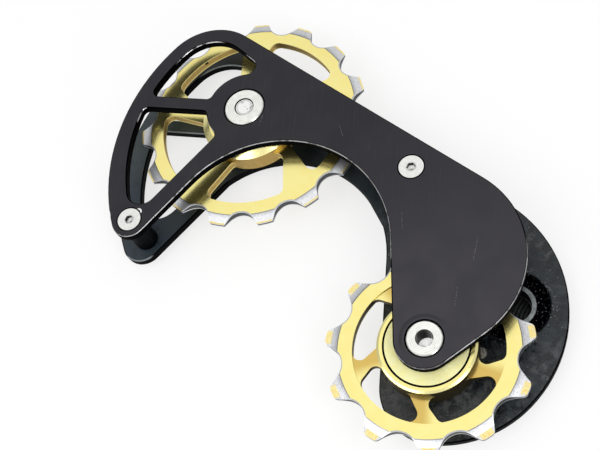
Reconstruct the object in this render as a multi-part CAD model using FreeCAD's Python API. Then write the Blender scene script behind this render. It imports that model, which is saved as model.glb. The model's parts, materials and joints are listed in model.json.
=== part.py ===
"""Rear derailleur cage with two oversized toothed pulleys.

Two flat plates hold a large tension pulley and a smaller guide pulley between them.  The origin lies on
the cage's pivot axis, at the outer face of the outer plate.  +Z runs along the pivot from the outer plate
to the inner plate, and +X from the tension pulley towards the guide pulley.  All sizes are millimetres.
"""
import FreeCAD, Part
import math
import os

# Layout of the axes, seen from the inner side
PULLEY_SPACING = 78.4
PIVOT_FROM_GUIDE = (1.6, 22.1)
TIP_SCREW_FROM_TENSION = (8.2, -40.0)
MID_SCREW_FROM_MIDDLE = (2.7, 22.6)
STOP_PIN_FROM_PIVOT = (4.6, -12.7)
SPRING_HOLE_RADIUS = 9.6
SPRING_HOLE_ANGLE = 150.0

# Plates
PLATE_THICKNESS = 2.5
PLATE_GAP = 10.0
EDGE_CHAMFER = 0.3
RIM_RADIUS = 50.75
RIM_WIDTH = 4.1
ARM_WIDTH = 4.4
TOP_WIDTH = 4.7
CORNER_FROM_TENSION = (-14.9, -1.95)
CORNER_RADIUS = 14.4
TIP_LAND = 4.7
BOSS_LAND = 10.1
SPOKE_WIDTH = 3.7
SPOKE_ANGLE = 225.0
WINDOW_CORNER = 1.6
WINDOW_TOP_CORNER = 2.4
WINDOW_TIP_CORNER = 4.0
WINDOW_TIP_LIFT = 1.1

# Inner plate only
GUIDE_LAND = 7.0
SHOULDER_FROM_GUIDE = (-16.7, 11.1)
SHOULDER_RADIUS = 23.7
INNER_THROAT_RADIUS = 29.1
INNER_THROAT_LAND = 11.8
INNER_NECK = 13.8

# Outer plate only
DISC_FROM_PIVOT = (-12.3, -17.0)
DISC_RADIUS = 33.4
FLANK_RADIUS = 28.1
FLANK_ANGLE = 10.0
HEEL_RADIUS = 12.9
HEEL_ANGLE = -38.7
OUTER_TIP_FROM_SCREW = (-0.2, -1.6)
OUTER_TIP_RADIUS = 5.2
OUTER_THROAT_RADIUS = 30.4
OUTER_THROAT_LAND = 7.4
OUTER_NECK = 15.4
OUTER_CORNER_GROWTH = 2.2
OUTER_WINDOW_GROWTH = 0.9
OUTER_HIP_EASING = 10.4
OUTER_HIP_LAND = 8.8
GREASE_RECESS_LAND = 2.8
GREASE_RECESS_DEPTH = 0.8
SPRING_HOLE_DIAMETER = 2.2
SPRING_HOLE_DEPTH = 1.6

# Chain and teeth
CHAIN_PITCH = 12.7
TENSION_TEETH = 15
GUIDE_TEETH = 11
TENSION_ROOT_DEPTH = 3.75
GUIDE_ROOT_DEPTH = 2.65
TENSION_TOOTH_HEIGHT = 3.5
GUIDE_TOOTH_HEIGHT = 3.95
TENSION_GULLET_RADIUS = 4.0
GUIDE_GULLET_RADIUS = 4.5
TENSION_TIP_SPACE = 8.5
GUIDE_TIP_SPACE = 8.7
TENSION_TIP_CORNER = 0.35
GUIDE_TIP_CORNER = 1.2
TENSION_TIP_FLAT = 0.4
GUIDE_TIP_FLAT = 1.4
TENSION_TOOTH_PHASE = -1.2
GUIDE_TOOTH_PHASE = -3.2
FACE_BEYOND_ROOT = 0.75
TIP_THICKNESS = 1.2

# Pulley wheels
RIM_THICKNESS = 2.4
RIM_WALL = 2.6
TENSION_WEB_THICKNESS = 2.4
GUIDE_WEB_THICKNESS = 1.6
HUB_LIP = 1.2
TENSION_HUB_BEVEL = 1.2
GUIDE_HUB_BEVEL = 0.3
TENSION_HUB_WALL = 2.65
GUIDE_HUB_WALL = 1.35
HUB_LAND = 0.8
PULLEY_SPOKES = 5
TENSION_SPOKE_WIDTHS = (3.4, 7.4)
GUIDE_SPOKE_WIDTHS = (3.9, 3.9)
TENSION_SPOKE_PHASE = 0.0
GUIDE_SPOKE_PHASE = 34.5
TENSION_SPOKE_SWEEP = 9.0
GUIDE_SPOKE_SWEEP = -7.0
TENSION_WINDOW_CORNER = 2.1
GUIDE_WINDOW_CORNER = 1.8
WINDOW_CORNER_LIMIT = 0.4

# Ball bearings, 7 x 17 x 5
BEARING_BORE = 7.0
BEARING_OUTSIDE = 17.0
BEARING_WIDTH = 5.0
BALL_DIAMETER = 2.7
BALL_COUNT = 8
BALL_CLEARANCE = 0.08
GROOVE_DEPTH = 0.25
RETAINER_WALL = 0.9
RETAINER_RAIL = 0.45
POCKET_CLEARANCE = 0.12
SEAL_THICKNESS = 0.3
SEAL_INSET = 0.12
SEAL_GAP = 0.1

# Dust caps
CAP_LAP = 1.05
CAP_GAP = 0.4
CAP_AXIAL_GAP = 0.3
CAP_BOSS_WALL = 1.2

# Sleeve nuts and pulley bolts
TENSION_HEAD_FLANGE = 1.65
GUIDE_HEAD_FLANGE = 0.6
HEAD_SEAT_DEPTH = 1.2
HEAD_PROUD = 0.15
HEAD_CHAMFER = 0.25
THREAD_DIAMETER = 5.0
THREAD_DEPTH = 0.45
SLEEVE_END_GAP = 0.2
TENSION_BOLT_RECESS = 0.1
GUIDE_BOLT_RECESS = 5.9
BOLT_END_GAP = 0.3
BOLT_HEAD_DIAMETER = 8.5
BOLT_HEAD_HEIGHT = 2.5
BOLT_SOCKET = 4.0
BOLT_SOCKET_DEPTH = 1.6

# Standoffs and countersunk screws
STANDOFF_DIAMETER = 6.0
STANDOFF_CHAMFER = 0.4
SCREW_DIAMETER = 3.0
SCREW_HEAD_DIAMETER = 6.0
SCREW_END_GAP = 1.0
SCREW_SOCKET = 2.0
SCREW_SOCKET_DEPTH = 1.1

# Pivot bush and stop pin
PIVOT_BORE_DIAMETER = 8.4
BUSH_WALL = 1.0
BUSH_FLANGE_LAP = 1.8
BUSH_INNER_SETBACK = 0.2
STOP_PIN_DIAMETER = 3.6
STOP_PIN_OUT = 2.2
STOP_PIN_SHANK_DIAMETER = 2.8
STOP_PIN_SHANK_PROUD = 0.1

# Clearances
FIT = 0.04
HEAD_GAP = 0.2
SEAT_GAP = 0.05
CUT_EXTRA = 1.0
TOUCHING = 1e-5

Vector = FreeCAD.Vector
UP = Vector(0, 0, 1)


def shifted(point, offset):
    """A plan point moved by a plan offset."""
    return Vector(point.x + offset[0], point.y + offset[1], 0)


def polar(centre, radius, degrees):
    """The plan point at a radius and an angle from a centre."""
    turn = math.radians(degrees)
    return Vector(centre.x + radius * math.cos(turn), centre.y + radius * math.sin(turn), 0)


PIVOT = Vector(0, 0, 0)
GUIDE = Vector(-PIVOT_FROM_GUIDE[0], -PIVOT_FROM_GUIDE[1], 0)
TENSION = shifted(GUIDE, (-PULLEY_SPACING, 0))
MIDDLE = (GUIDE + TENSION) * 0.5
TIP_SCREW = shifted(TENSION, TIP_SCREW_FROM_TENSION)
MID_SCREW = shifted(MIDDLE, MID_SCREW_FROM_MIDDLE)
STOP_PIN = shifted(PIVOT, STOP_PIN_FROM_PIVOT)

OUTER_FACE = 0.0
OUTER_INSIDE = OUTER_FACE + PLATE_THICKNESS
INNER_INSIDE = OUTER_INSIDE + PLATE_GAP
INNER_FACE = INNER_INSIDE + PLATE_THICKNESS
MID_PLANE = (OUTER_INSIDE + INNER_INSIDE) / 2
SCREW_LENGTH = PLATE_THICKNESS + (PLATE_GAP - SCREW_END_GAP) / 2
BUSH_RADIUS = PIVOT_BORE_DIAMETER / 2 + BUSH_WALL

BALL_CIRCLE = (BEARING_BORE + BEARING_OUTSIDE) / 4
RACE_WALL = BALL_CIRCLE - BALL_DIAMETER / 2 + GROOVE_DEPTH - BEARING_BORE / 2
RETAINER_WIDTH = BALL_DIAMETER + 2 * RETAINER_RAIL
CAP_RADIUS = BEARING_OUTSIDE / 2 + CAP_LAP
CAP_BOSS_RADIUS = BEARING_BORE / 2 + CAP_BOSS_WALL
HUB_THICKNESS = BEARING_WIDTH + 2 * HUB_LIP


class Disc:
    """A round stretch of an outline: +1 turns to the left about its centre, -1 to the right."""

    def __init__(self, centre, radius, turn=1, join=None):
        self.centre = centre
        self.radius = radius
        self.turn = turn
        self.join = join

    @property
    def signed(self):
        return self.turn * self.radius


def straight_tangent(first, second):
    """Where the straight run from one disc to the next leaves the first and meets the second."""
    across = second.centre - first.centre
    lean = (second.signed - first.signed) / across.Length
    heading = math.atan2(across.y, across.x) - math.asin(max(-1.0, min(1.0, lean)))
    left = Vector(-math.sin(heading), math.cos(heading), 0)
    return first.centre - left * first.signed, second.centre - left * second.signed


def circles_meeting(first, first_radius, second, second_radius):
    """The meeting point of two circles that lies to the left of the line between their centres."""
    across = second - first
    along = (first_radius ** 2 - second_radius ** 2 + across.Length ** 2) / (2 * across.Length)
    height = math.sqrt(first_radius ** 2 - along ** 2)
    unit = across / across.Length
    return first + unit * along + Vector(-unit.y, unit.x, 0) * height


def arc_edge(centre, radius, start, end, turn):
    """An arc from start to end about a centre, turning left for +1 and right for -1."""
    begin = math.atan2(start.y - centre.y, start.x - centre.x)
    finish = math.atan2(end.y - centre.y, end.x - centre.x)
    sweep = turn * ((turn * (finish - begin)) % (2 * math.pi))
    middle = polar(centre, radius, math.degrees(begin + sweep / 2))
    return Part.Arc(start, middle, end).toShape()


def outline(discs):
    """A closed face that runs round the discs in turn, by straight tangents or by the arcs they name."""
    leaving = []
    arriving = []
    joins = []
    for first, second in zip(discs, discs[1:] + discs[:1]):
        if first.join is None:
            start, end = straight_tangent(first, second)
            touching = (end - start).Length < TOUCHING
            end = start if touching else end
            joins.append(None if touching else Part.LineSegment(start, end).toShape())
        else:
            hub = circles_meeting(
                first.centre, first.join - first.radius, second.centre, first.join - second.radius)
            start = hub + (first.centre - hub).normalize() * first.join
            end = hub + (second.centre - hub).normalize() * first.join
            joins.append(arc_edge(hub, first.join, start, end, 1))
        leaving.append(start)
        arriving.append(end)
    edges = []
    for index, disc in enumerate(discs):
        edges.append(arc_edge(disc.centre, disc.radius, arriving[index - 1], leaving[index], disc.turn))
        if joins[index] is not None:
            edges.append(joins[index])
    return Part.Face(Part.Wire(edges))


def slab(face, low, high):
    """A plan face made into a solid between two heights."""
    moved = face.copy()
    moved.translate(UP * low)
    return moved.extrude(UP * (high - low))


def cylinder(centre, radius, low, high):
    return Part.makeCylinder(radius, high - low, Vector(centre.x, centre.y, low))


def tube(centre, inside, outside, low, high):
    return cylinder(centre, outside, low, high).cut(
        cylinder(centre, inside, low - CUT_EXTRA, high + CUT_EXTRA))


def turned(centre, section):
    """A solid of revolution about a vertical axis, from its section as (radius, height) corners."""
    corners = [Vector(centre.x + radius, centre.y, height) for radius, height in section]
    face = Part.Face(Part.makePolygon(corners + corners[:1]))
    return face.revolve(Vector(centre.x, centre.y, 0), UP, 360)


def hexagon(centre, across_flats, low, high):
    """A hexagonal prism, for a socket."""
    corners = [polar(centre, across_flats / math.sqrt(3), 60 * side) for side in range(6)]
    return slab(Part.Face(Part.makePolygon(corners + corners[:1])), low, high)


def inset_point(run, inset, centre, radius, ahead):
    """The point at an inset to the left of a straight run and at a radius from a centre.

    Of the two such points, ahead picks the one further along the run, and otherwise the nearer one.
    """
    start, end = run
    unit = (end - start).normalize()
    base = start + Vector(-unit.y, unit.x, 0) * inset
    along = (centre - base).dot(unit)
    foot = base + unit * along
    half = math.sqrt(radius ** 2 - (foot - centre).Length ** 2)
    return foot + unit * (half if ahead else -half)


def corner_disc(grown):
    """The rounded corner beyond the tension pulley, from which the rim runs to the tip."""
    return Disc(shifted(TENSION, CORNER_FROM_TENSION), CORNER_RADIUS + grown, join=RIM_RADIUS)


def throat(top_run, radius, land, neck):
    """The hollow edge of a plate.

    It leaves a land round the tension pulley's bolt, and a neck below the plate's straight top edge.
    """
    fitting = min(radius, (PULLEY_SPACING - land - GUIDE_LAND) / 2)
    return Disc(inset_point(top_run, fitting + neck, TENSION, fitting + land, False), fitting, -1)


class Plan:
    """The outline of one plate, and the runs and arcs that its windows follow."""

    def __init__(self, right_end, corner, tip, hollow):
        self.corner = corner
        self.tip = tip
        self.top_run = straight_tangent(right_end[-1], corner)
        self.hollows = [throat(self.top_run, *hollow)]
        self.right_end = right_end
        self.rim_centre = circles_meeting(
            corner.centre, RIM_RADIUS - corner.radius, tip.centre, RIM_RADIUS - tip.radius)

    @property
    def discs(self):
        return self.right_end + [self.corner, self.tip] + self.hollows

    @property
    def arm_run(self):
        return straight_tangent(self.tip, self.hollows[0])


def inner_plan():
    guide_end = Disc(GUIDE, GUIDE_LAND)
    shoulder = Disc(shifted(GUIDE, SHOULDER_FROM_GUIDE), SHOULDER_RADIUS)
    tip = Disc(TIP_SCREW, TIP_LAND)
    hollow = (INNER_THROAT_RADIUS, INNER_THROAT_LAND, INNER_NECK)
    return Plan([guide_end, shoulder], corner_disc(0), tip, hollow)


def outer_plan():
    disc = Disc(shifted(PIVOT, DISC_FROM_PIVOT), DISC_RADIUS)
    flank = Disc(polar(disc.centre, DISC_RADIUS - FLANK_RADIUS, FLANK_ANGLE), FLANK_RADIUS)
    heel = Disc(polar(flank.centre, FLANK_RADIUS - HEEL_RADIUS, HEEL_ANGLE), HEEL_RADIUS)
    tip = Disc(shifted(TIP_SCREW, OUTER_TIP_FROM_SCREW), OUTER_TIP_RADIUS)
    hollow = (OUTER_THROAT_RADIUS, OUTER_THROAT_LAND, OUTER_NECK)
    plan = Plan([heel, flank, disc], corner_disc(OUTER_CORNER_GROWTH), tip, hollow)
    wide = plan.hollows[0]
    hip_radius = wide.radius - OUTER_HIP_EASING
    hip_centre = circles_meeting(TENSION, hip_radius + OUTER_HIP_LAND, wide.centre, OUTER_HIP_EASING)
    plan.hollows.insert(0, Disc(hip_centre, hip_radius, -1))
    return plan


def plate_windows(plan, rim_width):
    """The two openings beside the tension pulley's bolt, parted by a spoke."""
    spoke_end = polar(TENSION, RIM_RADIUS, SPOKE_ANGLE)
    outward = (TENSION, spoke_end)
    inward = (spoke_end, TENSION)
    boss = Disc(TENSION, BOSS_LAND, -1)
    rim_inside = RIM_RADIUS - rim_width
    small = WINDOW_CORNER
    top = WINDOW_TOP_CORNER
    tip = WINDOW_TIP_CORNER
    by_boss = BOSS_LAND + small
    by_rim = rim_inside - small
    by_tip = rim_inside - WINDOW_TIP_LIFT - tip
    beside_spoke = SPOKE_WIDTH / 2 + small
    upper = [
        Disc(plan.corner.centre, plan.corner.radius - rim_width, join=rim_inside),
        Disc(inset_point(inward, beside_spoke, plan.rim_centre, by_rim, False), small),
        Disc(inset_point(inward, beside_spoke, TENSION, by_boss, False), small),
        boss,
        Disc(inset_point(plan.top_run, TOP_WIDTH + top, TENSION, BOSS_LAND + top, True), top),
    ]
    lower = [
        Disc(inset_point(outward, beside_spoke, TENSION, by_boss, True), small),
        Disc(inset_point(outward, beside_spoke, plan.rim_centre, by_rim, True), small, join=rim_inside),
        Disc(inset_point(plan.arm_run, ARM_WIDTH + tip, plan.rim_centre, by_tip, False), tip),
        Disc(inset_point(plan.arm_run, ARM_WIDTH + small, TENSION, by_boss, False), small),
        boss,
    ]
    return [outline(upper), outline(lower)]


def flat_plate(plan, low, rim_width):
    """A plate with both windows, and with a small chamfer along every edge of its two faces.

    The rim's width is measured from the inner plate's outline, which both plates' windows follow.
    """
    face = outline(plan.discs)
    for window in plate_windows(inner_plan(), rim_width):
        face = face.cut(window)
    solid = slab(face.Faces[0], low, low + PLATE_THICKNESS)
    flat_edges = [edge for edge in solid.Edges if abs(edge.BoundBox.ZLength) < 1e-6]
    return solid.makeChamfer(EDGE_CHAMFER, flat_edges)


def screw_section(grown):
    """Section of a countersunk screw whose head lies at height 0 and whose shank runs downwards."""
    shank = SCREW_DIAMETER / 2 + grown
    head = SCREW_HEAD_DIAMETER / 2 + grown
    end = -SCREW_LENGTH - grown
    return [(0, 0), (head, 0), (shank, shank - head), (shank, end), (0, end)]


def countersunk(centre, face, upward, grown):
    """The screw's form, or its seat where it is grown, with its head at a plate's face."""
    way = 1 if upward else -1
    return turned(centre, [(radius, face + way * height) for radius, height in screw_section(grown)])


def head_seat(centre, flange):
    """The hole and the counterbore of a sleeve nut in the inner plate."""
    hole = cylinder(centre, BEARING_BORE / 2 + FIT, INNER_INSIDE - CUT_EXTRA, INNER_FACE + CUT_EXTRA)
    bore = cylinder(
        centre, BEARING_BORE / 2 + flange + HEAD_GAP, INNER_FACE - HEAD_SEAT_DEPTH, INNER_FACE + CUT_EXTRA)
    return hole.fuse(bore)


def inner_plate():
    plate = flat_plate(inner_plan(), INNER_INSIDE, RIM_WIDTH)
    plate = plate.cut(head_seat(TENSION, TENSION_HEAD_FLANGE))
    plate = plate.cut(head_seat(GUIDE, GUIDE_HEAD_FLANGE))
    for centre in (TIP_SCREW, MID_SCREW):
        plate = plate.cut(countersunk(centre, INNER_FACE, True, SEAT_GAP))
    return plate


def outer_plate():
    plate = flat_plate(outer_plan(), OUTER_FACE, RIM_WIDTH - OUTER_WINDOW_GROWTH)
    through = (OUTER_FACE - CUT_EXTRA, OUTER_INSIDE + CUT_EXTRA)
    for centre in (TENSION, GUIDE):
        plate = plate.cut(cylinder(centre, THREAD_DIAMETER / 2 + HEAD_GAP, *through))
    for centre in (TIP_SCREW, MID_SCREW):
        plate = plate.cut(countersunk(centre, OUTER_FACE, False, SEAT_GAP))
    plate = plate.cut(cylinder(PIVOT, BUSH_RADIUS + FIT, *through))
    plate = plate.cut(cylinder(
        PIVOT, BUSH_RADIUS + GREASE_RECESS_LAND,
        OUTER_INSIDE - GREASE_RECESS_DEPTH, OUTER_INSIDE + CUT_EXTRA))
    plate = plate.cut(cylinder(STOP_PIN, STOP_PIN_SHANK_DIAMETER / 2 + FIT, *through))
    spring_hole = polar(PIVOT, SPRING_HOLE_RADIUS, SPRING_HOLE_ANGLE)
    return plate.cut(cylinder(
        spring_hole, SPRING_HOLE_DIAMETER / 2, OUTER_FACE - CUT_EXTRA, OUTER_FACE + SPRING_HOLE_DEPTH))


class Pulley:
    """The sizes that differ between the two pulleys."""

    def __init__(
            self, centre, teeth, root_depth, tooth_height, gullet_radius, tip_space, tip_corner, tip_flat,
            tooth_phase, web, hub_bevel, hub_wall, spoke_widths, spoke_phase, spoke_sweep, window_corner):
        self.centre = centre
        self.teeth = teeth
        self.root_radius = CHAIN_PITCH / (2 * math.sin(math.pi / teeth)) - root_depth
        self.tip_radius = self.root_radius + tooth_height
        self.gullet_radius = gullet_radius
        self.tip_width = CHAIN_PITCH - tip_space
        self.tip_corner = tip_corner
        self.tip_flat = tip_flat
        self.tooth_phase = tooth_phase
        self.web = web
        self.hub_edge = HUB_THICKNESS - 2 * hub_bevel
        self.hub_radius = CAP_RADIUS + CAP_GAP + hub_wall
        self.hub_spoke, self.rim_spoke = spoke_widths
        self.spoke_phase = spoke_phase
        self.spoke_sweep = spoke_sweep
        self.window_radius = self.root_radius - RIM_WALL
        depth = self.window_radius - self.hub_radius
        self.window_corner = min(window_corner, WINDOW_CORNER_LIMIT * depth)


TENSION_PULLEY = Pulley(
    TENSION, TENSION_TEETH, TENSION_ROOT_DEPTH, TENSION_TOOTH_HEIGHT, TENSION_GULLET_RADIUS,
    TENSION_TIP_SPACE, TENSION_TIP_CORNER, TENSION_TIP_FLAT, TENSION_TOOTH_PHASE,
    TENSION_WEB_THICKNESS, TENSION_HUB_BEVEL, TENSION_HUB_WALL,
    TENSION_SPOKE_WIDTHS, TENSION_SPOKE_PHASE, TENSION_SPOKE_SWEEP, TENSION_WINDOW_CORNER)
GUIDE_PULLEY = Pulley(
    GUIDE, GUIDE_TEETH, GUIDE_ROOT_DEPTH, GUIDE_TOOTH_HEIGHT, GUIDE_GULLET_RADIUS,
    GUIDE_TIP_SPACE, GUIDE_TIP_CORNER, GUIDE_TIP_FLAT, GUIDE_TOOTH_PHASE,
    GUIDE_WEB_THICKNESS, GUIDE_HUB_BEVEL, GUIDE_HUB_WALL,
    GUIDE_SPOKE_WIDTHS, GUIDE_SPOKE_PHASE, GUIDE_SPOKE_SWEEP, GUIDE_WINDOW_CORNER)


def toothed_face(pulley):
    """Plan of the teeth: a round gullet in each gap, and a rounded tip on each tooth."""
    discs = []
    step = 360 / pulley.teeth
    corner_radius = pulley.tip_radius - pulley.tip_corner
    half_tip = math.degrees(math.asin((pulley.tip_width / 2 - pulley.tip_corner) / corner_radius))
    for tooth in range(pulley.teeth):
        angle = pulley.tooth_phase + tooth * step
        before = polar(pulley.centre, corner_radius, angle - half_tip)
        after = polar(pulley.centre, corner_radius, angle + half_tip)
        gullet = polar(pulley.centre, pulley.root_radius + pulley.gullet_radius, angle + step / 2)
        discs.append(Disc(before, pulley.tip_corner, join=pulley.tip_radius))
        discs.append(Disc(after, pulley.tip_corner))
        discs.append(Disc(gullet, pulley.gullet_radius, -1))
    return outline(discs)


def wheel_section(pulley):
    """Half section of a pulley wheel, mirrored about its middle plane."""
    seat = BEARING_OUTSIDE / 2 + FIT
    recess = CAP_RADIUS + CAP_GAP
    upper = [
        (seat, BEARING_WIDTH / 2),
        (recess, BEARING_WIDTH / 2),
        (recess, HUB_THICKNESS / 2),
        (recess + HUB_LAND, HUB_THICKNESS / 2),
        (pulley.hub_radius, pulley.hub_edge / 2),
        (pulley.hub_radius, pulley.web / 2),
        (pulley.window_radius, pulley.web / 2),
        (pulley.window_radius, RIM_THICKNESS / 2),
        (pulley.root_radius + FACE_BEYOND_ROOT, RIM_THICKNESS / 2),
        (pulley.tip_radius - pulley.tip_flat, TIP_THICKNESS / 2),
        (pulley.tip_radius + CUT_EXTRA, TIP_THICKNESS / 2),
    ]
    lower = [(radius, -height) for radius, height in reversed(upper)]
    return [(radius, MID_PLANE + height) for radius, height in upper + lower]


def wheel_window(pulley, angle):
    """One opening between two spokes, which are swept round a little from the rim to the hub."""
    corner = pulley.window_corner
    half_step = 180 / PULLEY_SPOKES
    outer = pulley.window_radius - corner
    inner = pulley.hub_radius + corner
    outer_half = half_step - math.degrees(math.asin((pulley.rim_spoke / 2 + corner) / outer))
    inner_half = half_step - math.degrees(math.asin((pulley.hub_spoke / 2 + corner) / inner))
    inner_angle = angle + pulley.spoke_sweep
    centre = pulley.centre
    return outline([
        Disc(polar(centre, outer, angle - outer_half), corner, join=pulley.window_radius),
        Disc(polar(centre, outer, angle + outer_half), corner),
        Disc(polar(centre, inner, inner_angle + inner_half), corner),
        Disc(centre, pulley.hub_radius, -1),
        Disc(polar(centre, inner, inner_angle - inner_half), corner),
    ])


def pulley_wheel(pulley):
    low = MID_PLANE - HUB_THICKNESS / 2 - CUT_EXTRA
    high = MID_PLANE + HUB_THICKNESS / 2 + CUT_EXTRA
    wheel = turned(pulley.centre, wheel_section(pulley)).common(slab(toothed_face(pulley), low, high))
    step = 360 / PULLEY_SPOKES
    for spoke in range(PULLEY_SPOKES):
        angle = pulley.spoke_phase + (spoke + 0.5) * step
        wheel = wheel.cut(slab(wheel_window(pulley, angle), low, high))
    return wheel


def raceway(centre):
    """The space that the balls sweep, with their running clearance."""
    radius = BALL_DIAMETER / 2 + BALL_CLEARANCE
    return Part.makeTorus(BALL_CIRCLE, radius, Vector(centre.x, centre.y, MID_PLANE))


def race(centre, inside, outside):
    ring = tube(centre, inside, outside, MID_PLANE - BEARING_WIDTH / 2, MID_PLANE + BEARING_WIDTH / 2)
    return ring.cut(raceway(centre))


def outer_race(centre):
    return race(centre, BEARING_OUTSIDE / 2 - RACE_WALL, BEARING_OUTSIDE / 2)


def inner_race(centre):
    return race(centre, BEARING_BORE / 2, BEARING_BORE / 2 + RACE_WALL)


def ball_angles():
    return [ball * 360 / BALL_COUNT for ball in range(BALL_COUNT)]


def balls(centre):
    places = [polar(centre, BALL_CIRCLE, angle) + UP * MID_PLANE for angle in ball_angles()]
    return Part.makeCompound([Part.makeSphere(BALL_DIAMETER / 2, place) for place in places])


def ball_retainer(centre):
    """A ring that keeps the balls apart, with a round pocket for each of them."""
    ring = tube(
        centre, BALL_CIRCLE - RETAINER_WALL / 2, BALL_CIRCLE + RETAINER_WALL / 2,
        MID_PLANE - RETAINER_WIDTH / 2, MID_PLANE + RETAINER_WIDTH / 2)
    pocket_radius = BALL_DIAMETER / 2 + POCKET_CLEARANCE
    for angle in ball_angles():
        start = polar(centre, BALL_CIRCLE - RETAINER_WALL, angle) + UP * MID_PLANE
        outward = polar(PIVOT, 1, angle)
        ring = ring.cut(Part.makeCylinder(pocket_radius, 2 * RETAINER_WALL, start, outward))
    return ring


def seals(centre):
    """The two flat seals, held in the outer race and clear of the inner one."""
    inside = BEARING_BORE / 2 + RACE_WALL + SEAL_GAP
    outside = BEARING_OUTSIDE / 2 - RACE_WALL - FIT
    depth = BEARING_WIDTH / 2 - SEAL_INSET
    upper = tube(centre, inside, outside, MID_PLANE + depth - SEAL_THICKNESS, MID_PLANE + depth)
    lower = tube(centre, inside, outside, MID_PLANE - depth, MID_PLANE - depth + SEAL_THICKNESS)
    return Part.makeCompound([upper, lower])


def dust_cap(centre, side):
    """A flanged spacer between a plate and the inner race: side +1 is towards the inner plate."""
    hole = BEARING_BORE / 2 + FIT
    race_face = BEARING_WIDTH / 2
    section = [
        (hole, race_face),
        (CAP_BOSS_RADIUS, race_face),
        (CAP_BOSS_RADIUS, race_face + CAP_AXIAL_GAP),
        (CAP_RADIUS, race_face + CAP_AXIAL_GAP),
        (CAP_RADIUS, HUB_THICKNESS / 2),
        (CAP_BOSS_RADIUS, HUB_THICKNESS / 2),
        (CAP_BOSS_RADIUS, PLATE_GAP / 2),
        (hole, PLATE_GAP / 2),
    ]
    return turned(centre, [(radius, MID_PLANE + side * height) for radius, height in section])


def sleeve_nut(centre, flange, bolt_recess):
    """A flanged sleeve that carries the bearing and takes the pulley bolt from the other side."""
    top = INNER_FACE + HEAD_PROUD
    seat = INNER_FACE - HEAD_SEAT_DEPTH
    low = OUTER_INSIDE + SLEEVE_END_GAP
    head = BEARING_BORE / 2 + flange
    barrel = BEARING_BORE / 2 - FIT
    bolt = THREAD_DIAMETER / 2 + FIT
    bolt_room = INNER_FACE - bolt_recess + BOLT_END_GAP
    minor = THREAD_DIAMETER / 2 - THREAD_DEPTH
    solid = turned(centre, [
        (minor, top), (head - HEAD_CHAMFER, top), (head, top - HEAD_CHAMFER), (head, seat),
        (barrel, seat), (barrel, low), (minor, low)])
    return solid.cut(cylinder(centre, bolt, low - CUT_EXTRA, bolt_room))


def pulley_bolt(centre, bolt_recess):
    """A socket-headed bolt from the outer face, with its end set back inside the sleeve nut."""
    head = BOLT_HEAD_DIAMETER / 2
    shank = THREAD_DIAMETER / 2
    low = OUTER_FACE - BOLT_HEAD_HEIGHT
    end = INNER_FACE - bolt_recess
    solid = turned(centre, [
        (0, low), (head - HEAD_CHAMFER, low), (head, low + HEAD_CHAMFER), (head, OUTER_FACE),
        (shank, OUTER_FACE), (shank, end - HEAD_CHAMFER), (shank - HEAD_CHAMFER, end), (0, end)])
    return solid.cut(hexagon(centre, BOLT_SOCKET, low - CUT_EXTRA, low + BOLT_SOCKET_DEPTH))


def standoff(centre):
    """A round spacer between the plates, bored for a screw at each end."""
    outside = STANDOFF_DIAMETER / 2
    inside = SCREW_DIAMETER / 2 + SEAT_GAP
    return turned(centre, [
        (inside, OUTER_INSIDE), (outside - STANDOFF_CHAMFER, OUTER_INSIDE),
        (outside, OUTER_INSIDE + STANDOFF_CHAMFER), (outside, INNER_INSIDE - STANDOFF_CHAMFER),
        (outside - STANDOFF_CHAMFER, INNER_INSIDE), (inside, INNER_INSIDE)])


def plate_screws(face, upward):
    """The two countersunk screws of one plate, each with a hexagonal socket."""
    way = 1 if upward else -1
    screws = []
    for centre in (TIP_SCREW, MID_SCREW):
        ends = sorted((face - way * SCREW_SOCKET_DEPTH, face + way * CUT_EXTRA))
        screws.append(countersunk(centre, face, upward, 0).cut(hexagon(centre, SCREW_SOCKET, *ends)))
    return Part.makeCompound(screws)


def pivot_bush():
    """The bush that the cage turns on, with a flange against the outer face."""
    bore = PIVOT_BORE_DIAMETER / 2
    flange = BUSH_RADIUS + BUSH_FLANGE_LAP
    low = OUTER_FACE - BOLT_HEAD_HEIGHT
    high = OUTER_INSIDE - BUSH_INNER_SETBACK
    return turned(PIVOT, [
        (bore, low), (flange - HEAD_CHAMFER, low), (flange, low + HEAD_CHAMFER), (flange, OUTER_FACE),
        (BUSH_RADIUS, OUTER_FACE), (BUSH_RADIUS, high), (bore, high)])


def stop_pin():
    """The pin that stops the cage's swing, with its shank riveted through the outer plate."""
    radius = STOP_PIN_DIAMETER / 2
    shank = STOP_PIN_SHANK_DIAMETER / 2
    low = OUTER_FACE - STOP_PIN_OUT
    high = OUTER_INSIDE + STOP_PIN_SHANK_PROUD
    return turned(STOP_PIN, [
        (0, low), (radius - HEAD_CHAMFER, low), (radius, low + HEAD_CHAMFER), (radius, OUTER_FACE),
        (shank, OUTER_FACE), (shank, high - HEAD_CHAMFER), (shank - HEAD_CHAMFER, high), (0, high)])


def bearing_nodes(name, centre):
    return {
        name + "_bearing_outer_race": outer_race(centre),
        name + "_bearing_inner_race": inner_race(centre),
        name + "_bearing_balls": balls(centre),
        name + "_bearing_retainer": ball_retainer(centre),
        name + "_bearing_seals": seals(centre),
        name + "_inner_dust_cap": dust_cap(centre, 1),
        name + "_outer_dust_cap": dust_cap(centre, -1),
    }


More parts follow.
